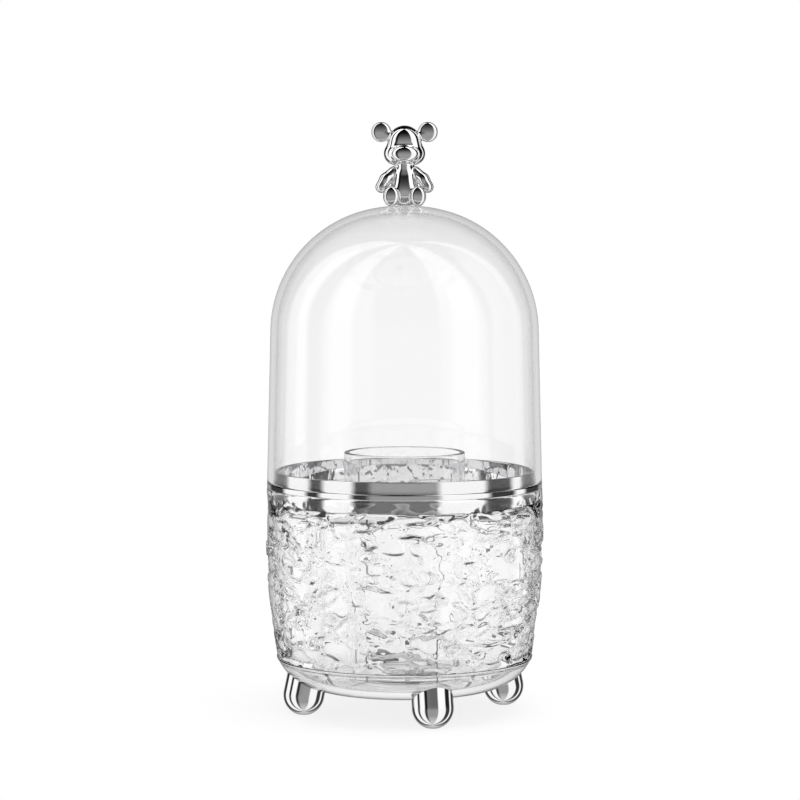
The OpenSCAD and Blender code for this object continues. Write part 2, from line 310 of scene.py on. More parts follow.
# %% Relief weights
weights = bucket_skin.data.attributes.new("relief", "FLOAT", "POINT")
for vertex, weight in zip(bucket_skin.data.vertices, weights.data):
    radius = math.hypot(vertex.co.x, vertex.co.y)
    height = vertex.co.z
    outside = radius > barrel_at(height, -wall / 2) and height > relief_low - 1e-6
    fade = min(1.0, (height - relief_low) / relief_fade, (relief_top - height) / top_fade)
    weight.value = max(0.0, fade) if outside and radius <= barrel_at(height) + 1e-5 else 0.0
print("relief rows carry weight:", sum(1 for w in weights.data if w.value > 0))

# %% [markdown]
# The relief itself is a Geometry Nodes tree. It works on the barrel's own positions, so it closes round the
# back without a seam. One noise bends the coordinates, and a pattern of smooth cells, wider than they are
# high, makes lumps with grooves between them. A second noise lets the grooves come and go, and a third adds
# long low swells. The result is only ever a cut into the skin, so the peaks stay on the outline that the
# solids have.

# %% Relief tree
def make_relief_tree():
    tree = bpy.data.node_groups.new("glacier_relief", "GeometryNodeTree")
    face = tree.interface
    face.new_socket("Geometry", in_out="INPUT", socket_type="NodeSocketGeometry")
    for name, default in (("Depth", 2.2 * MM), ("Lump width", 9.5 * MM), ("Lump height", 5.5 * MM),
                          ("Bend", 3.5 * MM)):
        face.new_socket(name, in_out="INPUT", socket_type="NodeSocketFloat").default_value = default
    face.new_socket("Plastic", in_out="INPUT", socket_type="NodeSocketMaterial")
    face.new_socket("Geometry", in_out="OUTPUT", socket_type="NodeSocketGeometry")
    given = add(tree, "NodeGroupInput").outputs
    position = add(tree, "GeometryNodeInputPosition").outputs["Position"]
    weight = add(tree, "GeometryNodeInputNamedAttribute", {"data_type": "FLOAT"}, Name="relief")

    # Lump coordinates: the position over the lump's width and height, bent by a soft noise.
    size = add(tree, "ShaderNodeCombineXYZ", X=given["Lump width"], Y=given["Lump width"],
               Z=given["Lump height"])
    scaled = add(tree, "ShaderNodeVectorMath", {"operation": "DIVIDE"}, in_0=position, in_1=size.outputs[0])
    bend_noise = add(tree, "ShaderNodeTexNoise", Vector=scaled.outputs[0], Scale=0.8, Detail=1.5)
    centred = add(tree, "ShaderNodeVectorMath", {"operation": "SUBTRACT"}, in_0=bend_noise.outputs["Color"],
                  in_1=(0.5, 0.5, 0.5))
    bend = add(tree, "ShaderNodeMath", {"operation": "DIVIDE"}, in_0=given["Bend"], in_1=given["Lump width"])
    push = add(tree, "ShaderNodeVectorMath", {"operation": "SCALE"}, in_0=centred.outputs[0],
               Scale=bend.outputs[0])
    bent = add(tree, "ShaderNodeVectorMath", {"operation": "MULTIPLY_ADD"}, in_0=push.outputs[0],
               in_1=(3.0, 3.0, 3.0), in_2=scaled.outputs[0])

    # Grooves between the lumps, which come and go.
    cells = add(tree, "ShaderNodeTexVoronoi", {"feature": "SMOOTH_F1"}, Vector=bent.outputs[0], Scale=1.0,
                Smoothness=0.12)
    groove = add(tree, "ShaderNodeMapRange", {"interpolation_type": "SMOOTHSTEP"},
                 Value=cells.outputs["Distance"], From_Min=0.46, From_Max=0.7, To_Min=0.0, To_Max=1.0)
    patches = add(tree, "ShaderNodeTexNoise", Vector=scaled.outputs[0], Scale=0.9, Detail=1.0)
    kept = add(tree, "ShaderNodeMapRange", {"interpolation_type": "SMOOTHSTEP"}, Value=patches.outputs["Fac"],
               From_Min=0.42, From_Max=0.6, To_Min=0.0, To_Max=0.5)
    grooves = add(tree, "ShaderNodeMath", {"operation": "MULTIPLY"}, in_0=groove.outputs["Result"],
                  in_1=kept.outputs["Result"])

    # Long low swells, much wider than they are high.
    lying = add(tree, "ShaderNodeVectorMath", {"operation": "MULTIPLY"}, in_0=bent.outputs[0],
                in_1=(0.4, 0.4, 0.6))
    swells = add(tree, "ShaderNodeTexNoise", Vector=lying.outputs[0], Scale=1.0, Detail=1.0)
    swell = add(tree, "ShaderNodeMapRange", {"interpolation_type": "SMOOTHSTEP"}, Value=swells.outputs["Fac"],
                From_Min=0.46, From_Max=0.54, To_Min=0.0, To_Max=0.3)
    total = add(tree, "ShaderNodeMath", {"operation": "ADD"}, in_0=grooves.outputs[0],
                in_1=swell.outputs["Result"])

    # Cut inwards along the radius by depth times weight.
    cut = add(tree, "ShaderNodeMath", {"operation": "MULTIPLY"}, in_0=total.outputs[0], in_1=given["Depth"])
    held = add(tree, "ShaderNodeMath", {"operation": "MULTIPLY"}, in_0=cut.outputs[0],
               in_1=weight.outputs["Attribute"])
    flat = add(tree, "ShaderNodeVectorMath", {"operation": "MULTIPLY"}, in_0=position, in_1=(-1.0, -1.0, 0.0))
    inward = add(tree, "ShaderNodeVectorMath", {"operation": "NORMALIZE"}, in_0=flat.outputs[0])
    offset = add(tree, "ShaderNodeVectorMath", {"operation": "SCALE"}, in_0=inward.outputs[0],
                 Scale=held.outputs[0])
    moved = add(tree, "GeometryNodeSetPosition", Geometry=given["Geometry"], Offset=offset.outputs[0])
    real = add(tree, "GeometryNodeRealizeInstances", Geometry=moved.outputs[0])
    dressed = add(tree, "GeometryNodeSetMaterial", Geometry=real.outputs[0], Material=given["Plastic"])
    add(tree, "NodeGroupOutput", Geometry=dressed.outputs[0])
    return tree


def apply_tree(piece, tree, values):
    """Runs a Geometry Nodes tree on a piece with its inputs set by identifier, and keeps the result as its
    mesh."""
    modifier = piece.modifiers.new(tree.name, "NODES")
    modifier.node_group = tree
    sockets = {item.name: item.identifier for item in tree.interface.items_tree if item.in_out == "INPUT"}
    for name, value in values.items():
        modifier[sockets[name]] = value
    graph = bpy.context.evaluated_depsgraph_get()
    mesh = bpy.data.meshes.new_from_object(piece.evaluated_get(graph))
    piece.modifiers.clear()
    piece.data = mesh
    return piece


apply_tree(bucket_skin, make_relief_tree(), {"Plastic": relief_plastic})
bucket_skin.data.shade_smooth()
bucket_skin.data.set_sharp_from_angle(angle=math.radians(60))
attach(bucket_skin, "base")
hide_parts("bucket")
print("bucket skin:", len(bucket_skin.data.polygons), "faces")

# %% [markdown]
# ## Feet
# Each foot is a ball-ended post that leans outwards, and its top is hollowed to fit the bowl. It is turned
# about its own leaning axis, and every line of the post is stopped where it meets the bowl's underside.

# %% Foot sizes
foot_r = 8.8 * MM
foot_reach = 44.9 * MM
foot_lean = math.radians(12)
foot_flat_r = 2.8 * MM
ball_z = math.sqrt(foot_r**2 - foot_flat_r**2)
foot_gap = 0.05 * MM
post_limit = 30 * MM
foot_segments = 72
ball_steps, post_steps, top_steps = 24, 8, 7


def bowl_underside(r):
    """Height of the bowl's outer face at a distance from the axis."""
    over = min(max(0.0, r - flat_r), bowl_r * 0.999)
    return bowl_z + bowl_r - math.sqrt(bowl_r**2 - over**2)


def post_height(x, y, to_world):
    """How far up the leaning post a line at (x, y) goes before it meets the bowl."""
    below, above = 0.0, post_limit
    for _ in range(40):
        middle = (below + above) / 2
        point = to_world @ Vector((x, y, middle))
        r = math.hypot(point.x, point.y)
        if point.z < bowl_underside(r) - foot_gap and r < barrel_at(ridge_z):
            below = middle
        else:
            above = middle
    return below


def foot_mesh(turn):
    """Vertices and faces of the foot that stands at a direction counted from the front."""
    to_world = (Matrix.Rotation(turn, 4, "Z") @ Matrix.Translation((0, -foot_reach, ball_z))
                @ Matrix.Rotation(-foot_lean, 4, "X"))
    angles = [2 * math.pi * i / foot_segments for i in range(foot_segments)]
    rings = []
    for step in range(1, ball_steps + 1):
        low_angle = -math.pi / 2 + math.pi / 2 * step / ball_steps
        r, z = foot_r * math.cos(low_angle), foot_r * math.sin(low_angle)
        rings.append([(r * math.cos(a), r * math.sin(a), z) for a in angles])
    tops = [post_height(foot_r * math.cos(a), foot_r * math.sin(a), to_world) for a in angles]
    for step in range(1, post_steps + 1):
        rings.append([(foot_r * math.cos(a), foot_r * math.sin(a), top * step / post_steps)
                      for a, top in zip(angles, tops)])
    for step in range(1, top_steps):
        r = foot_r * (1 - step / top_steps)
        circle = [(r * math.cos(a), r * math.sin(a)) for a in angles]
        rings.append([(x, y, post_height(x, y, to_world)) for x, y in circle])
    verts = [to_world @ Vector(p) for ring in rings for p in ring]
    bottom, top = len(verts), len(verts) + 1
    verts += [to_world @ Vector((0, 0, -foot_r)), to_world @ Vector((0, 0, post_height(0, 0, to_world)))]
    n = foot_segments
    faces = [[k * n + i, k * n + (i + 1) % n, (k + 1) * n + (i + 1) % n, (k + 1) * n + i]
             for k in range(len(rings) - 1) for i in range(n)]
    last = (len(rings) - 1) * n
    faces += [[bottom, (i + 1) % n, i] for i in range(n)]
    faces += [[top, last + i, last + (i + 1) % n] for i in range(n)]
    for vertex in verts:
        vertex.z = max(vertex.z, 0.0)
    return verts, faces


print(f"each foot: a ball {2 * foot_r / MM:.1f} mm wide with a flat {2 * foot_flat_r / MM:.1f} mm wide")

# %% Four feet
for side_name, quarter in (("front", 0), ("right", 1), ("back", 2), ("left", 3)):
    foot = new_piece(f"foot_{side_name}_bright", *foot_mesh(quarter * math.pi / 2), sharp_deg=40)
    foot.data.materials.append(chrome)
    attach(foot, "base")
    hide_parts(f"foot_{side_name}")

# %% [markdown]
# ## Collar ring
# The ring is turned brightwork: a skirt that shows through the bucket, a flange that the dome stands on, and
# a neck that guides the dome. Its edges carry small round bevels, because a plated edge is never sharp, and
# those bevels draw the fine lines along the ring.

# %% Collar ring
def rounded(points, radius, steps=4):
    """Rounds each corner of a closed outline with a small arc-like blend of the given radius. A point just past
    each end of the blend keeps the long faces flat when they are shaded smooth."""
    hold = 0.15 * MM
    out = []
    for i, (r, z) in enumerate(points):
        here = Vector((r, z))
        to_last = Vector(points[i - 1]) - here
        to_next = Vector(points[(i + 1) % len(points)]) - here
        cut = min(radius, to_last.length * 0.45, to_next.length * 0.45)
        start, end = here + to_last.normalized() * cut, here + to_next.normalized() * cut
        if to_last.length > 2 * (cut + hold):
            out.append(tuple(here + to_last.normalized() * (cut + hold)))
        for k in range(steps + 1):
            t = k / steps
            blend = start * (1 - t) ** 2 + here * 2 * t * (1 - t) + end * t**2
            out.append((blend.x, blend.y))
        if to_next.length > 2 * (cut + hold):
            out.append(tuple(here + to_next.normalized() * (cut + hold)))
    return out


ring_outline = [(bore_r, skirt_z), (skirt_r, skirt_z), (skirt_r, rim_z), (rim_r, rim_z), (rim_r, flange_z),
                (neck_r, flange_z), (neck_r, neck_z), (bore_r, neck_z)]
ring = new_piece("collar_ring_bright", *turned(rounded(ring_outline, 0.4 * MM), 360), sharp_deg=40)
ring.data.materials.append(chrome)
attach(ring, "base")
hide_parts("collar_ring")

# %% [markdown]
# ## Divider insert
# The insert is a clear cup with five panels round it. The cup is turned. The panels are flat plates with a
# rounded outer top corner: their lower edge follows the bowl, and their outer edge stays inside the ring's
# bore, so that the insert lifts out. A Boolean union joins them, so that the plastic is one body with no
# hidden faces where a panel meets the cup.

# %% Divider insert
cup_r = 26 * MM
plate = 2 * MM
insert_r = bore_r - 0.4 * MM
divider_h = 78.4 * MM
divider_top = floor_z + divider_h
divider_draft = 2 * MM
corner = 14 * MM
insert_gap = 0.4 * MM
dividers = 5
first_divider = math.radians(18 - 90)

cup_outline = [(0.0, floor_z)] + rounded(
    [(cup_r, floor_z), (cup_r, cup_z), (cup_r - plate, cup_z), (cup_r - plate, floor_z + plate)],
    0.5 * MM) + [(0.0, floor_z + plate)]


def divider_edge(z):
    """Radius of a panel's outer edge, which leans in towards its top."""
    return insert_r - divider_draft * (z - floor_z) / divider_h


def divider_outline():
    """Outline of one panel as (radius, height), from the cup's wall out and back."""
    bowl_steps, edge_steps, corner_steps = 10, 14, 12
    inner_z = bowl_z + bowl_r + (bowl_r - wall - insert_gap) * math.sin(bowl_end)
    lip = divider_top - corner
    points = [(cup_r - plate / 2, floor_z + insert_gap)]
    points += arc(flat_r, bowl_z + bowl_r, bowl_r - wall - insert_gap, -math.pi / 2, bowl_end, bowl_steps)
    for i in range(1, edge_steps + 1):
        z = inner_z + (lip - inner_z) * i / edge_steps
        points.append((min(divider_edge(z), barrel_at(z, -wall - insert_gap)), z))
    points += arc(divider_edge(lip) - corner, lip, corner, 0, math.pi / 2, corner_steps)[1:]
    return points + [(cup_r - plate / 2, divider_top)]


def make_insert():
    cup = new_piece("divider_insert_clear", *turned(cup_outline, 144), sharp_deg=50)
    outline = divider_outline()
    n = len(outline)
    for i in range(dividers):
        turn = first_divider + i * 2 * math.pi / dividers
        across = Vector((-math.sin(turn), math.cos(turn), 0)) * plate / 2
        verts = [Vector((r * math.cos(turn), r * math.sin(turn), z)) + across * sign
                 for sign in (-1, 1) for r, z in outline]
        faces = [list(range(n))[::-1], list(range(n, 2 * n))]
        faces += [[k, (k + 1) % n, n + (k + 1) % n, n + k] for k in range(n)]
        panel = new_piece(f"panel_{i}", verts, faces)
        join = cup.modifiers.new("join", "BOOLEAN")
        join.operation, join.solver, join.object = "UNION", "EXACT", panel
        graph = bpy.context.evaluated_depsgraph_get()
        mesh = bpy.data.meshes.new_from_object(cup.evaluated_get(graph))
        cup.modifiers.clear()
        cup.data = mesh
        bpy.data.objects.remove(panel)
    finish_mesh(cup.data, 30)
    cup.data.materials.clear()
    cup.data.materials.append(insert_plastic)
    return cup


insert = make_insert()
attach(insert, "insert")
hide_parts("divider_insert")
print("insert:", len(insert.data.polygons), "faces")

# %% [markdown]
# ## Dome cover
# The dome is a thin clear bell. Its side leans in a little for the mould, a wide shoulder arc turns it, and
# a flatter crown arc closes it; the two arcs meet with the same slope. The inner face repeats the outer one
# a wall's thickness in, and the rim is slightly rounded where it stands on the ring.

# %% Dome cover
def dome_outline():
    rim_round = 0.5 * MM
    side_steps, inner_side_steps, shoulder_steps, crown_steps = 60, 12, 40, 24
    outer = [(lid_r - rim_round, flange_z), (lid_r - rim_round * 0.3, flange_z + rim_round * 0.3),
             (lid_r, flange_z + rim_round)]
    outer += [(lid_r - dome_draft * i / side_steps,
               flange_z + rim_round + (spring_z - flange_z - rim_round) * i / side_steps)
              for i in range(1, side_steps)]
    outer += arc(shoulder_inset, spring_z, shoulder_r, 0, crown_from, shoulder_steps)
    outer += arc(0, crown_mid, crown_r, crown_from, math.pi / 2, crown_steps)[1:-1] + [(0.0, crown_z)]
    inner = [(0.0, crown_z - dome_wall)]
    inner += arc(0, crown_mid, crown_r - dome_wall, math.pi / 2, crown_from, crown_steps)[1:]
    inner += arc(shoulder_inset, spring_z, shoulder_r - dome_wall, crown_from, 0, shoulder_steps)[1:]
    inner += [(lid_r - dome_draft * i / inner_side_steps - dome_wall,
               flange_z + (spring_z - flange_z) * i / inner_side_steps)
              for i in range(inner_side_steps - 1, -1, -1)]
    return outer + inner


dome = new_piece("dome_cover_clear", *turned(dome_outline(), 360), sharp_deg=45)
dome.data.materials.append(dome_plastic)
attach(dome, "lid")
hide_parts("dome_cover")

# %% [markdown]
# ## Bear
# The bear is one plated moulding, so its limbs flow into its body with small fillets. It is described as a
# distance field: each limb is a tapered capsule or a stretched ball, and a smooth minimum blends neighbours.
# A blocky skin is laid round the grid cells that lie inside the field, and each vertex is then evened out
# and walked onto the field's surface. That gives a mirror-smooth form with soft creases, which overlapping
# balls alone would not have.

# %% Bear's distance field
bear_back = 2.5 * MM
ear_top = high("bear_finial", 2)
brow_r = 7.2 * MM
brow = ear_top - 1.5 * MM - brow_r
cheek_r = 5.2 * MM
cheek = brow - 4.8 * MM
ear_r = 4.3 * MM
bear_turn = math.radians(-15)
chest_r = 4.55 * MM
chest = cheek - cheek_r - 0.75 * chest_r


def capsule(p, a, ra, b, rb):
    """Distance to a capsule between a and b whose radius goes from ra to rb."""
    a, b = np.array(a), np.array(b)
    axis = b - a
    t = np.clip((p - a) @ axis / (axis @ axis), 0, 1)
    return np.linalg.norm(p - a - t[:, None] * axis, axis=1) - (ra + (rb - ra) * t)


def ellipsoid(p, centre, radii):
    """Near distance to an ellipsoid."""
    q = p - np.array(centre)
    r = np.array(radii)
    k0 = np.linalg.norm(q / r, axis=1)
    k1 = np.linalg.norm(q / r**2, axis=1)
    return k0 * (k0 - 1) / np.maximum(k1, 1e-9)


def blend(d1, d2, k):
    """Smooth minimum of two distances, with a fillet of about k."""
    h = np.clip(0.5 + 0.5 * (d2 - d1) / k, 0, 1)
    return d2 * (1 - h) + d1 * h - k * h * (1 - h)


def pressed(d, p, front, r, k):
    """Cuts a form off in front of a point with a gently domed face of radius r and an edge fillet of k."""
    face = np.linalg.norm(p - np.array(front) - np.array((0, r, 0)), axis=1) - r
    return -blend(-d, -face, k)


def bear_field(p):
    """Distance from points to the bear's skin. They are turned to the bear's own front, and because the bear
    is symmetric, only its right half is described."""
    c, s = math.cos(bear_turn), math.sin(bear_turn)
    q = p @ np.array(((c, -s, 0), (s, c, 0), (0, 0, 1)))
    q[:, 0] = np.abs(q[:, 0])
    y = bear_back
    head = ellipsoid(q, (0, y, brow), (brow_r, 7.2 * MM, brow_r))
    head = pressed(head, q, (0, y - 6.1 * MM, brow + 0.6 * MM), 15 * MM, 1.2 * MM)
    cheeks = ellipsoid(q, (3.8 * MM, y - 0.8 * MM, cheek), (5.1 * MM, 5.6 * MM, 5.0 * MM))
    head = blend(head, cheeks, 1.6 * MM)
    muzzle = ellipsoid(q, (0, y - 4.4 * MM, cheek - 0.2 * MM), (6.5 * MM, 5.2 * MM, 3.9 * MM))
    muzzle = pressed(muzzle, q, (0, y - 8.7 * MM, cheek - 0.2 * MM), 13 * MM, 0.9 * MM)
    head = blend(head, muzzle, 0.6 * MM)
    ear = ellipsoid(q, (10.0 * MM, y, ear_top - ear_r), (ear_r, 3.4 * MM, ear_r))
    ear = pressed(ear, q, (10.0 * MM, y - 1.8 * MM, ear_top - ear_r), 11 * MM, 0.8 * MM)
    stem = capsule(q, (8.0 * MM, y, ear_top - ear_r - 1.2 * MM), 1.5 * MM,
                   (4.5 * MM, y, brow + 1.8 * MM), 1.9 * MM)
    head = blend(head, blend(ear, stem, 0.8 * MM), 0.8 * MM)
    torso = capsule(q, (0, y, crown_z + 5.9 * MM), 6.5 * MM, (0, y, chest), chest_r)
    torso = pressed(torso, q, (0, y - 5.5 * MM, crown_z + 6.4 * MM), 16 * MM, 1.0 * MM)
    neck = capsule(q, (0, y, chest + 1.0 * MM), 3.9 * MM, (0, y, cheek - 3.0 * MM), 3.9 * MM)
    torso = blend(torso, neck, 1.0 * MM)
    elbow = (8.1 * MM, y - 1.1 * MM, chest - 2.4 * MM)
    arm = capsule(q, (4.6 * MM, y - 0.3 * MM, chest + 0.9 * MM), 2.3 * MM, elbow, 2.5 * MM)
    paw = (9.9 * MM, y - 1.5 * MM, chest - 5.7 * MM)
    arm = blend(arm, capsule(q, elbow, 2.5 * MM, paw, 2.6 * MM), 1.0 * MM)
    body = blend(torso, arm, 0.7 * MM)
    leg = capsule(q, (4.4 * MM, y - 1.0 * MM, crown_z + 3.6 * MM), 3.5 * MM,
                  (5.6 * MM, -3.2 * MM, crown_z + 3.7 * MM), 3.3 * MM)
    sole = ellipsoid(q, (5.7 * MM, -3.9 * MM, crown_z + 3.9 * MM), (3.5 * MM, 3.4 * MM, 4.4 * MM))
    leg = blend(leg, sole, 0.6 * MM)
    leg = pressed(leg, q, (5.7 * MM, -6.4 * MM, crown_z + 3.9 * MM), 11 * MM, 0.6 * MM)
    body = blend(body, leg, 0.5 * MM)
    whole = blend(body, head, 0.6 * MM)
    seat = crown_r + 0.05 * MM - np.linalg.norm(p - np.array((0, 0, crown_mid)), axis=1)
    return np.maximum(whole, seat)


print(f"bear: {(ear_top - crown_z) / MM:.1f} mm from the crown to its ears")

# %% Bear's skin
def make_bear():
    """Lays an even skin over the bear's field."""
    step = 0.42 * MM
    low_corner = np.array((-17.0, -11.5, -1.5)) * MM + np.array((0, 0, crown_z))
    counts = (80, 64, 92)
    grid = np.stack(np.meshgrid(*[np.arange(c) for c in counts], indexing="ij"), axis=-1).reshape(-1, 3)
    inside = (bear_field(low_corner + grid * step) < 0).reshape(counts)
    verts, faces, index = [], [], {}

    def corner_of(i, j, k):
        key = (i, j, k)
        if key not in index:
            index[key] = len(verts)
            verts.append((i - 0.5, j - 0.5, k - 0.5))
        return index[key]

    for i, j, k in np.argwhere(inside):
        for axis in range(3):
            for side in (0, 1):
                near = [i, j, k]
                near[axis] += 1 if side else -1
                if inside[tuple(near)]:
                    continue
                u, v = (axis + 1) % 3, (axis + 2) % 3
                square = []
                for du, dv in ((0, 0), (1, 0), (1, 1), (0, 1)):
                    c = [i, j, k]
                    c[axis] += side
                    c[u] += du
                    c[v] += dv
                    square.append(corner_of(*c))
                faces.append(square if side else square[::-1])
    points = low_corner + np.array(verts) * step
    piece = new_piece("bear_bright", points, faces, sharp_deg=180)
    settle_on_field(piece.data, step)
    piece.data.shade_smooth()
    return piece


def settle_on_field(mesh, step):
    """Evens out the blocky skin, walking its vertices onto the field's surface as it goes. The last turns only
    walk them, and a point's step is held where the field is nearly flat."""
    evening_turns, walking_turns = 28, 6
    evening_share = 0.6
    probe = 0.02 * MM
    least_slope = 0.3
    count = len(mesh.vertices)
    points = np.empty(count * 3)
    mesh.vertices.foreach_get("co", points)
    points = points.reshape(-1, 3)
    edges = np.empty(len(mesh.edges) * 2, dtype=int)
    mesh.edges.foreach_get("vertices", edges)
    edges = edges.reshape(-1, 2)
    degree = np.bincount(edges.ravel(), minlength=count)[:, None]
    for turn in range(evening_turns + walking_turns):
        total = np.zeros_like(points)
        np.add.at(total, edges[:, 0], points[edges[:, 1]])
        np.add.at(total, edges[:, 1], points[edges[:, 0]])
        share = evening_share if turn < evening_turns else 0.0
        points = points * (1 - share) + share * total / degree
        slope = np.stack([(bear_field(points + d) - bear_field(points - d)) / (2 * probe)
                          for d in np.eye(3) * probe], axis=1)
        length = np.maximum(np.linalg.norm(slope, axis=1, keepdims=True), least_slope)
        reach = np.clip(bear_field(points)[:, None] / length, -step, step)
        points = points - reach * slope / length
    mesh.vertices.foreach_set("co", points.ravel())
    mesh.update()


bear = make_bear()
bear.data.materials.append(chrome)
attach(bear, "lid")
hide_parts("bear_finial")

# %% [markdown]
# ## Studio
# The studio is plain: a pale floor, a white surround, and soft light from above. Chrome shows whatever
# stands round it, so the surround that mirrors see has the cards that a product studio stands round a shiny
# object: black flags, grey cards and white panels, set out in steps of 15 degrees. They go right round it,
# so that it looks plated from every side.

# %% Cards
view_turn = -15.3
black_flag, grey_card, white_panel = 0.05, 0.35, 1.1
card_edge = 3
# From the camera round to the back on each side: the angle in degrees where a card ends, and its grey.
left_cards = [(30, grey_card), (45, black_flag), (75, white_panel), (90, black_flag), (120, white_panel),
              (150, black_flag), (180, grey_card)]
right_cards = [(30, grey_card), (75, white_panel), (105, black_flag), (120, white_panel), (150, black_flag),
               (180, grey_card)]


def card_stops(cards, side):
    """Ramp stops for the cards of one side, -1 for the left and 1 for the right, with soft edges between."""
    stops, start = [], 0
    for end, grey in cards:
        stops += [((180 + side * angle) / 360, grey) for angle in (start + card_edge, end - card_edge)]
        start = end
    return stops


def card_greys(tree, parts):
    """Grey of the card that a direction meets, by its angle from the camera round the object."""
    toward = add(tree, "ShaderNodeMath", {"operation": "MULTIPLY"}, in_0=parts.outputs["Y"], in_1=-1.0)
    angle = add(tree, "ShaderNodeMath", {"operation": "ARCTAN2"}, in_0=parts.outputs["X"],
                in_1=toward.outputs[0])
    share = add(tree, "ShaderNodeMapRange", Value=angle.outputs[0], From_Min=-math.pi, From_Max=math.pi)
    greys = add(tree, "ShaderNodeValToRGB", Fac=share.outputs["Result"])
    stops = sorted(card_stops(left_cards, -1) + card_stops(right_cards, 1))
    elements = greys.color_ramp.elements
    while len(elements) < len(stops):
        elements.new(1.0)
    for element, (position, grey) in zip(elements, stops):
        element.position = position
        element.color = (grey, grey, grey, 1.0)
    return greys.outputs["Color"]


print("studio cards:", len(left_cards), "on the left,", len(right_cards), "on the right")

# %% [markdown]
# The cards darken upwards, where a studio has its dark ceiling, and pale well below the horizon, where the
# lit table shines on them. A gamma on their grey does both, and makes the white panels brighter towards the
# top. Light that a mirror behind a clear wall throws down towards the table comes from the table's shade, so
# there the gamma is raised.

# %% Darkening with height
gamma_base, gamma_lift = 7.0, 0.07
pale_from, pale_to, pale_gamma = -0.55, -1.0, 0.35
shade_from, shade_to = -0.115, -0.15
# Faces that light crosses: two for one wall, four for a hollow shell, or for a wall there and back. A test
# on such a whole number leaves half a step on each side.
wall_faces, shell_faces = 2, 4
half_step = 0.5


def card_gamma(tree, height, path):
    """Gamma of the cards' grey by a direction's height, which goes from -1 straight down to 1 straight up."""
    level = add(tree, "ShaderNodeMath", {"operation": "ADD"}, in_0=height, in_1=gamma_lift)
    darker = add(tree, "ShaderNodeMath", {"operation": "POWER"}, in_0=gamma_base, in_1=level.outputs[0])
    lighter = add(tree, "ShaderNodeMapRange", Value=height, From_Min=pale_from, From_Max=pale_to, To_Min=1.0,
                  To_Max=pale_gamma)
    held = add(tree, "ShaderNodeMath", {"operation": "MAXIMUM"}, in_0=darker.outputs[0],
               in_1=lighter.outputs["Result"])
    behind_wall = add(tree, "ShaderNodeMath", {"operation": "COMPARE"},
                      in_0=path.outputs["Transmission Depth"], in_1=shell_faces, in_2=half_step)
    shade = add(tree, "ShaderNodeMapRange", {"interpolation_type": "SMOOTHSTEP"}, Value=height,
                From_Min=shade_from, From_Max=shade_to, To_Min=0.0, To_Max=1.0)
    return add(tree, "ShaderNodeMath", {"operation": "MULTIPLY_ADD"}, in_0=shade.outputs["Result"],
               in_1=behind_wall.outputs[0], in_2=held.outputs[0]).outputs[0]


print(f"gamma of the cards at eye level: {max(1.0, gamma_base**gamma_lift):.2f}")

# %% [markdown]
# Light Path chooses: the camera and the clear plastic look out at plain white, and mirrored rays see the
# cards. A mirrored ray that is inside a wall, or has crossed many walls, sees less of them, so the clear
# pieces stay light. Light that the plastic turns steeply upwards meets a dark roof, which is what draws the
# dark strokes in the relief. One hollow shell alone, such as the dome, turns light little, and its roof
# starts higher.

# %% What each ray sees
# How much of the cards shows inside a wall and beyond many walls. For light that has crossed one hollow
# shell only, shell_roof is how much of its direction's height counts.
wall_share, deep_share = 0.15, 0.1
shell_roof = 0.22
roof_from, roof_to = 0.15, 0.21


def past_shell(tree, path, before, after):
    """A value for light that has crossed one hollow shell at most, and another for light that has gone on."""
    return add(tree, "ShaderNodeMapRange", Value=path.outputs["Transmission Depth"],
               From_Min=shell_faces + half_step, From_Max=shell_faces + 3 * half_step, To_Min=before,
               To_Max=after).outputs["Result"]


def white_strength(tree, height, path):
    """Strength of the white surround: 1, and 0 at the roof for light that has gone through plastic."""
    raised = add(tree, "ShaderNodeMath", {"operation": "MULTIPLY"}, in_0=height,
                 in_1=past_shell(tree, path, shell_roof, 1.0))
    roof = add(tree, "ShaderNodeMapRange", {"interpolation_type": "SMOOTHSTEP"}, Value=raised.outputs[0],
               From_Min=roof_from, From_Max=roof_to, To_Min=0.0, To_Max=1.0)
    shaded = add(tree, "ShaderNodeMath", {"operation": "MULTIPLY"}, in_0=roof.outputs["Result"],
                 in_1=path.outputs["Is Transmission Ray"])
    return add(tree, "ShaderNodeMath", {"operation": "SUBTRACT"}, in_0=1.0, in_1=shaded.outputs[0]).outputs[0]


def card_share(tree, path):
    """Share of the cards in what a ray sees: none before a mirror has turned it."""
    mirrored_once = add(tree, "ShaderNodeMath", {"operation": "GREATER_THAN"},
                        in_0=path.outputs["Glossy Depth"], in_1=half_step)
    in_wall = add(tree, "ShaderNodeMath", {"operation": "COMPARE"}, in_0=path.outputs["Transmission Depth"],
                  in_1=wall_faces, in_2=half_step)
    weight = add(tree, "ShaderNodeMath", {"operation": "MULTIPLY_ADD"}, in_0=in_wall.outputs[0],
                 in_1=wall_share - 1, in_2=past_shell(tree, path, 1.0, deep_share))
    return add(tree, "ShaderNodeMath", {"operation": "MULTIPLY"}, in_0=mirrored_once.outputs[0],
               in_1=weight.outputs[0]).outputs[0]


print(f"dark roof from height {roof_from}, or from {roof_from / shell_roof:.2f} behind one shell alone")

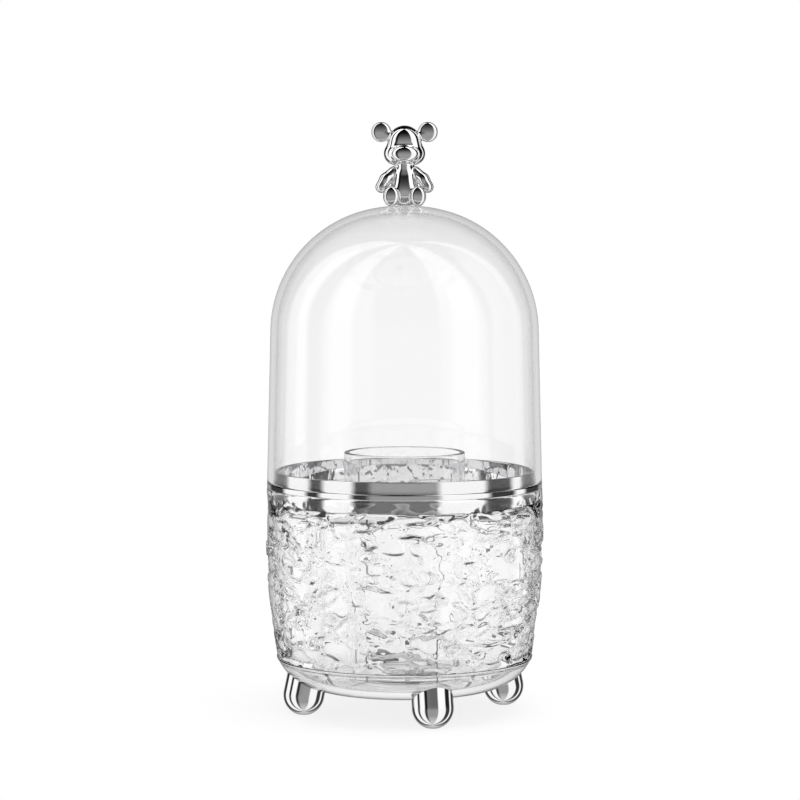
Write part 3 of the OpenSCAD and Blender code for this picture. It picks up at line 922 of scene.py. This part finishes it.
# %% Surround
def make_world():
    world = bpy.data.worlds.new("studio")
    bpy.context.scene.world = world
    world.use_nodes = True
    tree = world.node_tree
    tree.nodes.clear()
    output = add(tree, "ShaderNodeOutputWorld")
    away = add(tree, "ShaderNodeTexCoord").outputs["Generated"]
    turned_away = add(tree, "ShaderNodeVectorRotate", {"rotation_type": "Z_AXIS"}, Vector=away,
                      Angle=math.radians(-view_turn))
    parts = add(tree, "ShaderNodeSeparateXYZ", Vector=turned_away.outputs[0])
    height = parts.outputs["Z"]
    path = add(tree, "ShaderNodeLightPath")
    graded = add(tree, "ShaderNodeGamma", Color=card_greys(tree, parts), Gamma=card_gamma(tree, height, path))
    mirrored = add(tree, "ShaderNodeBackground", Color=graded.outputs[0], Strength=1.0)
    plain = add(tree, "ShaderNodeBackground", Color=(1, 1, 1, 1), Strength=white_strength(tree, height, path))
    choice = add(tree, "ShaderNodeMixShader", Fac=card_share(tree, path), in_1=plain.outputs[0],
                 in_2=mirrored.outputs[0])
    tree.links.new(choice.outputs[0], output.inputs["Surface"])
    return tree


print("studio surround:", len(make_world().nodes), "nodes")

# %% [markdown]
# The floor is white to the camera and to the clear plastic, and near the feet it lets a share of the real
# shading through, which keeps the contact shadows. Mirrored rays pass through it, because a white floor in
# every mirror would wash out the lower half of the chrome.

# %% Floor
floor_half = 4
shadow_from, shadow_to, shadow_share = 0.06, 0.2, 0.16


def make_floor():
    corners = [(x * floor_half, y * floor_half, 0) for x, y in ((-1, -1), (1, -1), (1, 1), (-1, 1))]
    mesh = bpy.data.meshes.new("studio_floor")
    mesh.from_pydata(corners, [], [(0, 1, 2, 3)])
    floor = bpy.data.objects.new("studio_floor", mesh)
    bpy.context.scene.collection.objects.link(floor)
    material, tree, output = new_material("matte_white_paper")
    coords = add(tree, "ShaderNodeTexCoord")
    distance = add(tree, "ShaderNodeVectorMath", {"operation": "LENGTH"}, in_0=coords.outputs["Object"])
    share = add(tree, "ShaderNodeMapRange", Value=distance.outputs["Value"], From_Min=shadow_from,
                From_Max=shadow_to, To_Min=shadow_share, To_Max=0.0)
    matte = add(tree, "ShaderNodeBsdfDiffuse", Color=linear("#F4F4F4"))
    white = add(tree, "ShaderNodeEmission", Color=(1, 1, 1, 1), Strength=1.0)
    shown = add(tree, "ShaderNodeMixShader", Fac=share.outputs["Result"], in_1=white.outputs[0],
                in_2=matte.outputs[0])
    path = add(tree, "ShaderNodeLightPath")
    seen = add(tree, "ShaderNodeMath", {"operation": "MAXIMUM"}, in_0=path.outputs["Is Camera Ray"],
               in_1=path.outputs["Is Transmission Ray"])
    choice = add(tree, "ShaderNodeMixShader", Fac=seen.outputs[0], in_1=matte.outputs[0],
                 in_2=shown.outputs[0])
    mirrored = add(tree, "ShaderNodeMath", {"operation": "GREATER_THAN"}, in_0=path.outputs["Glossy Depth"],
                   in_1=half_step)
    nothing = add(tree, "ShaderNodeBsdfTransparent")
    shaded = add(tree, "ShaderNodeMixShader", Fac=mirrored.outputs[0], in_1=choice.outputs[0],
                 in_2=nothing.outputs[0])
    tree.links.new(shaded.outputs[0], output.inputs["Surface"])
    mesh.materials.append(material)
    floor.visible_glossy = False


make_floor()
print("made studio_floor")

# %% Lamp
def add_panel(name, place, size, power):
    """Adds a soft square lamp that looks at the middle of the object."""
    lamp = bpy.data.lights.new(name, "AREA")
    lamp.energy, lamp.size = power, size
    panel = bpy.data.objects.new(name, lamp)
    panel.location = place
    panel.rotation_euler = (Vector((0, 0, 0.1)) - Vector(place)).to_track_quat("-Z", "Y").to_euler()
    panel.visible_glossy = False
    panel.visible_transmission = False
    bpy.context.scene.collection.objects.link(panel)


add_panel("overhead_panel", (0.1, -0.2, 1.1), 0.8, 6.0)
print("made overhead_panel")

# %% [markdown]
# The camera stands 1.21 m away with a long lens, a little to the left of the front and looking slightly down.

# %% Camera
camera_away = 1.209
camera_height = 0.2226
camera_pitch = 4.165
camera_data = bpy.data.cameras.new("camera")
camera_data.lens = 126.5
camera_data.sensor_width = 36
camera_data.shift_x = -0.0057
camera = bpy.data.objects.new("camera", camera_data)
turn = math.radians(view_turn)
camera.location = (camera_away * math.sin(turn), -camera_away * math.cos(turn), camera_height)
camera.rotation_euler = (math.radians(90 - camera_pitch), 0, turn)
bpy.context.scene.collection.objects.link(camera)
bpy.context.scene.camera = camera
bpy.context.scene.view_settings.view_transform = "Standard"
print("camera:", camera_away, "m away,", camera_data.lens, "mm lens")

# A ray that crosses dome, bucket and insert meets more faces than the default allows for, and would end
# black.
light_paths = bpy.context.scene.cycles
light_paths.max_bounces = light_paths.transmission_bounces = 32
light_paths.glossy_bounces = 16
